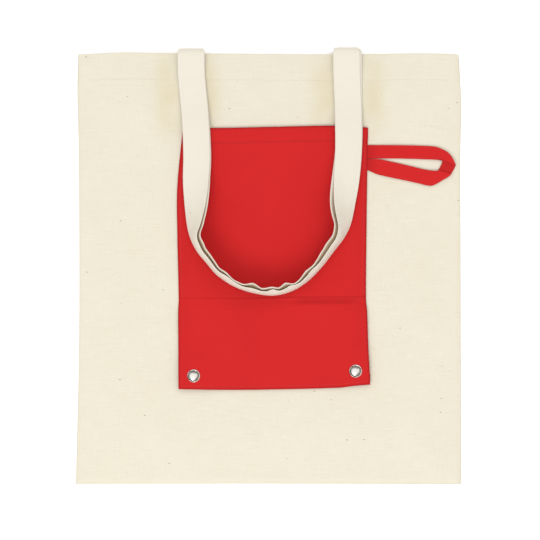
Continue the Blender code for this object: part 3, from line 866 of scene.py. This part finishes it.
def pouch_rows():
    """Rows of the red cloth from the flap's free edge to the pouch's top, with every edge turned under."""
    lengthways = spaced(POUCH_BOTTOM, POUCH_TOP, 0.0032, (POUCH_BOTTOM, 0.003, 0.001),
                        (FLAP_HINGE, 0.009, 0.0006), (POUCH_TOP - POUCH_HEM, 0.003, 0.0005),
                        (POUCH_TOP, 0.003, 0.001))
    hem = SIDE_HEM / (FLAP_HIGH.x - FLAP_LOW.x)
    columns = spaced(0.0, 1.0, 0.015, (0.0, 0.012, 0.004), (1.0, 0.012, 0.004), (hem, 0.006, 0.003),
                     (1 - hem, 0.006, 0.003))
    rows = []
    for y_mid in lengthways:
        row = []
        for u in columns:
            left = curve_at(POUCH_LEFT, y_mid)
            x = left + (curve_at(POUCH_RIGHT, y_mid) - left) * u
            y = y_mid + (curve_at(FLAP_EDGE, x) - POUCH_BOTTOM) * smooth((-0.060 - y_mid) / 0.059)
            y += (curve_at(POUCH_EDGE, x) - POUCH_TOP) * smooth((y_mid - 0.090) / 0.045)
            row.append((x, y, pouch_height(x, y)))
        rows.append(side_hem(row, 0, -1)[::-1] + row + side_hem(row, -1, 1))
    return end_hem(rows[0], -1)[::-1] + rows + end_hem(rows[-1], 1)


def side_hem(row, end, sign):
    """More points for one end of a row: over the edge and back underneath."""
    x, y, z = row[end]
    made = []
    for a in TURN_ANGLES:
        made.append((x + sign * HEM_TURN * math.sin(a), y, z - HEM_TURN * (1 - math.cos(a))))
    for back in (0.002, 0.006, SIDE_HEM):
        inside = x - sign * back
        made.append((inside, y, pouch_height(inside, y) - 2 * HEM_TURN))
    return made


def end_hem(edge, sign):
    """More rows beyond the first or last one: over the edge and back underneath."""
    made = []
    for a in TURN_ANGLES:
        out = sign * HEM_TURN * math.sin(a)
        down = HEM_TURN * (1 - math.cos(a))
        made.append([(x, y + out, z - down) for x, y, z in edge])
    for back in (0.002, 0.006, END_HEM):
        row = []
        for x, y, z in edge:
            sink = pouch_height(x, y - sign * back) - pouch_height(x, y)
            row.append((x, y - sign * back, z + sink - 2 * HEM_TURN))
        made.append(row)
    return made


def on_pouch(places):
    """The same places, on the red cloth's upper side."""
    return [(x, y, pouch_height(x, y) + RED_CLOTH / 2) for x, y in places]


def pouch():
    """The red cloth of the pouch and its flap, the backing that it closes on, and its rows of stitches."""
    piece = cloth("pouch_and_flap", pouch_rows(), RED_CLOTH, RED_LOOK, tint=pouch_tint)
    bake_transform(piece)
    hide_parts("pouch_front", "flap")

    low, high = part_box("pouch_backing")
    columns = spaced(low.x, high.x, 0.012)
    rows = []
    for y in spaced(low.y, high.y, 0.012):
        rows.append([(x, y, low.z - 0.0001 + 0.0001 * ripple(x, y, 0.05, 6.0)) for x in columns])
    backing = cloth("pouch_backing_cloth", rows, BACKING, RED_LOOK)
    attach(backing, "bag")
    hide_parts("pouch_backing")

    hem = [(x, curve_at(POUCH_EDGE, x) - POUCH_HEM) for x in evenly(-0.0835, 0.0950, 40)]
    sew("pouch_hem_stitching", on_pouch(hem), "bag", "pouch_hem_stitch")
    up = evenly(FLAP_HINGE + 0.003, 0.1310, 40)
    left = [(curve_at(POUCH_LEFT, y) + SIDE_STITCH, y) for y in up]
    sew("pouch_side_stitching_left", on_pouch(left), "bag", "pouch_side_stitch_left")
    right = [(curve_at(POUCH_RIGHT, y) - SIDE_STITCH, y) for y in up]
    sew("pouch_side_stitching_right", on_pouch(right), "bag", "pouch_side_stitch_right")
    edge = [(x, curve_at(FLAP_EDGE, x) + FLAP_STITCH) for x in evenly(-0.0860, 0.0970, 40)]
    sew("flap_stitching", on_pouch(edge), "flap", "flap_hem_stitch")


# ---------------------------------------------------------------- press studs

def turned(name, profile, centre, look, steps=56):
    """A round piece from its profile, as (radius, height) points down its outer side."""
    mesh = bpy.data.meshes.new(name)
    shape = bmesh.new()
    points = [shape.verts.new((radius, 0, height)) for radius, height in profile]
    for a, b in zip(points, points[1:]):
        shape.edges.new((a, b))
    shape.to_mesh(mesh)
    shape.free()
    made = new_object(name, mesh, look)
    screw = made.modifiers.new("turn", "SCREW")
    screw.steps = steps
    screw.render_steps = steps
    screw.use_merge_vertices = True
    screw.merge_threshold = 0.000001
    weld = made.modifiers.new("weld", "WELD")
    weld.merge_threshold = 0.000001
    made = baked(made)
    made.data.shade_smooth()
    made.data.set_sharp_from_angle(angle=math.radians(50))
    made.location = centre
    return made


def snap_profile():
    """A dome on a narrow rolled rim, down to the cloth and in under it to the shank."""
    points = []
    for degrees in range(0, 85, 7):
        a = math.radians(degrees)
        points.append((0.0056 * math.sin(a), 0.0004 + 0.0021 * math.cos(a)))
    for degrees in range(120, -61, -30):
        a = math.radians(degrees)
        points.append((0.0059 + 0.00042 * math.cos(a), 0.00045 + 0.00042 * math.sin(a)))
    return points + [(0.0057, 0.0), (0.0019, 0.0), (0.0019, -0.0008), (0.0, -0.0008)]


def relook(node, look):
    """Gives a CAD node that stays a better material."""
    kept = frame["nodes"][node]
    kept.data.materials.clear()
    kept.data.materials.append(look)


def snaps():
    """The two caps on the flap, over the studs, sockets and eyelets that the CAD model already has."""
    for side, place in SNAPS.items():
        base = FLAP_HIGH.z + 0.00012
        cap = turned(f"snap_cap_dome_{side}", snap_profile(), (place.x, place.y, base), NICKEL)
        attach(cap, "flap")
        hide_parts(f"snap_cap_{side}")
        for node in ("snap_socket", "snap_stud", "snap_eyelet"):
            relook(f"{node}_{side}", NICKEL)


# ---------------------------------------------------------------- the wrist loop

# The band's outer and inner edge, and how far each stands above its lying height.
LOOP_STATIONS = (
    ((0.0930, 0.1186), (0.0930, 0.1054), 0.0002, 0.0000),
    ((0.0985, 0.1186), (0.0985, 0.1054), 0.0000, 0.0000),
    ((0.1300, 0.1184), (0.1300, 0.1053), 0.0004, 0.0002),
    ((0.1540, 0.1178), (0.1540, 0.1046), 0.0002, 0.0003),
    ((0.1642, 0.1170), (0.1650, 0.1042), 0.0003, 0.0004),
    ((0.1706, 0.1148), (0.1690, 0.1037), 0.0005, 0.0006),
    ((0.1766, 0.1115), (0.1706, 0.1033), 0.0008, 0.0008),
    ((0.1808, 0.1066), (0.1713, 0.1029), 0.0012, 0.0009),
    ((0.1832, 0.1018), (0.1714, 0.1026), 0.0015, 0.0010),
    ((0.1843, 0.0992), (0.1713, 0.1022), 0.0014, 0.0009),
    ((0.1840, 0.0978), (0.1706, 0.1008), 0.0005, 0.0000),
    ((0.1826, 0.0948), (0.1692, 0.0975), 0.0004, 0.0000),
    ((0.1808, 0.0916), (0.1678, 0.0948), 0.0006, 0.0001),
    ((0.1796, 0.0897), (0.1669, 0.0937), 0.0016, 0.0009),
    ((0.1776, 0.0878), (0.1655, 0.0934), 0.0014, 0.0009),
    ((0.1728, 0.0848), (0.1625, 0.0934), 0.0009, 0.0007),
    ((0.1622, 0.0790), (0.1592, 0.0937), 0.0006, 0.0005),
    ((0.1560, 0.0789), (0.1566, 0.0941), 0.0004, 0.0004),
    ((0.1475, 0.0809), (0.1500, 0.0954), 0.0002, 0.0003),
    ((0.1330, 0.0841), (0.1360, 0.0988), 0.0003, 0.0001),
    ((0.1180, 0.0872), (0.1210, 0.1022), 0.0002, 0.0000),
    ((0.1060, 0.0902), (0.1090, 0.1046), 0.0000, 0.0000),
    ((0.0985, 0.0936), (0.0985, 0.1050), 0.0000, 0.0000),
    ((0.0930, 0.0940), (0.0930, 0.1050), 0.0002, 0.0000),
)
# The two folds at the far end, each from the inner edge to the outer one, and x past which they matter.
LOOP_CREASES = (((0.1704, 0.1042), (0.1834, 0.0986)), ((0.1692, 0.0937), (0.1796, 0.0906)))
LOOP_TURN = 0.166


def loop_tint(x, y, share):
    """Painted shade in the two folds, on the stretch between them, which lies underneath, along the edges,
    and towards the hinge, where the band tucks under.
    """
    past = []
    for start, end in LOOP_CREASES:
        run = Vector(end) - Vector(start)
        run.normalize()
        past.append(run.x * (y - start[1]) - run.y * (x - start[0]))
    edge = 0.45 * (1 - smooth(min(share, 1 - share) / 0.11))
    if x < LOOP_TURN:
        return edge + 0.35 * smooth((LOOP_HINGE + 0.012 - x) / 0.012)
    between = smooth(-past[0] / 0.0006) * smooth(past[1] / 0.0006)
    folds = bump(past[0] / 0.0010) + bump(past[1] / 0.0010)
    return min(edge + 0.32 * between + 0.60 * folds, 1.0)


def loop_rest(x, y):
    """How high the band's underside lies, on the canvas."""
    return front_height(x, y) + CANVAS / 2 + 0.0003


def wrist_loop():
    """A folded band, flat on the canvas, turned over at the far end by two folds."""
    outer = smooth_route([(*s[0], s[2]) for s in LOOP_STATIONS], ROUTE_STEPS)
    inner = smooth_route([(*s[1], s[3]) for s in LOOP_STATIONS], ROUTE_STEPS)
    rows = []
    for a, b in zip(outer, inner):
        row = []
        for share in (0.0, 0.03, 0.10, 0.2, 0.35, 0.5, 0.65, 0.8, 0.90, 0.97, 1.0):
            place = a.lerp(b, share)
            crown = 0.00012 * math.sin(math.pi * share)
            rest = loop_rest(place.x, place.y) + LOOP_BAND / 2 + place.z
            tuck = 0.0006 * smooth((LOOP_HINGE - place.x) / 0.004)
            row.append((place.x, place.y, rest + crown - tuck))
        rows.append(row)
    band = cloth("wrist_loop_band", rows, LOOP_BAND, RED_LOOK, pinch=0.0003, tint=loop_tint)
    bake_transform(band)
    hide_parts("wrist_loop")
    for name, share in (("outer", 0.11), ("inner", 0.89)):
        path = []
        for a, b in zip(outer, inner):
            place = a.lerp(b, share)
            if place.x > LOOP_HINGE + 0.0035:
                top = loop_rest(place.x, place.y) + LOOP_BAND + place.z
                path.append((place.x, place.y, top + 0.00002))
        sew(f"wrist_loop_stitching_{name}", path, "wrist_loop", "wrist_loop_stitch", radius=0.00018)


# ---------------------------------------------------------------- the inside seams

def inside_seams():
    """The overlocking inside the side and bottom seams."""
    for name in ("left", "right", "bottom"):
        relook(f"seam_thread_{name}", CREAM_THREAD)


# ---------------------------------------------------------------- the stage

VIEW_WIDTH = 0.5330
VIEW_CENTRE = (0.0014, -0.0044)
CAMERA_HEIGHT = 2.4
SENSOR_WIDTH = 36
FLOOR_LEVEL = -0.0002
# Each lamp's name, place, diameter and power.
LAMPS = (("key", (-0.9, -2.5, 3.2), 2.2, 62), ("fill", (1.4, 2.4, 3.2), 2.6, 22))


def white_room():
    """Even white light, brightest overhead, with a bright band low down that meets the floor."""
    n = Nodes(bpy.data.worlds.new("soft_white"), "Background")
    bpy.context.scene.world = n.owner
    place = n.add("ShaderNodeTexCoord").outputs["Generated"]
    up = n.add("ShaderNodeSeparateXYZ", _0=place).outputs[2]
    fade = n.add("ShaderNodeMapRange", Value=up, From_Min=0.0, From_Max=1.0, To_Min=0.40, To_Max=1.20)
    glow = n.add("ShaderNodeMapRange", Value=up, From_Min=0.08, From_Max=0.20, To_Min=0.62, To_Max=0.0)
    n.feed(n.shader, "Strength", n.math("ADD", fade, glow))
    n.shader.inputs["Color"].default_value = (1, 1, 1, 1)


def stage():
    """The floor, the light and the camera, which looks straight down."""
    bpy.ops.mesh.primitive_plane_add(size=30, location=(0, 0, FLOOR_LEVEL))
    floor = bpy.context.object
    floor.name = "floor"
    floor.data.materials.append(floor_look())
    white_room()

    for name, place, size, power in LAMPS:
        light = bpy.data.lights.new(name, "AREA")
        light.shape = "DISK"
        light.size = size
        light.energy = power
        lamp = bpy.data.objects.new(name, light)
        lamp.location = place
        lamp.visible_glossy = name == "key"
        lamp.rotation_euler = (-Vector(place)).to_track_quat("-Z", "Y").to_euler()
        bpy.context.scene.collection.objects.link(lamp)

    camera = bpy.data.cameras.new("camera")
    camera.sensor_width = SENSOR_WIDTH
    camera.lens = SENSOR_WIDTH * CAMERA_HEIGHT / VIEW_WIDTH
    camera.clip_end = 50
    seen = bpy.data.objects.new("camera", camera)
    seen.location = (*VIEW_CENTRE, CAMERA_HEIGHT)
    bpy.context.scene.collection.objects.link(seen)
    bpy.context.scene.camera = seen
    bpy.context.scene.view_settings.view_transform = "Standard"


bag_panels()
handles()
pouch()
snaps()
wrist_loop()
inside_seams()
stage()
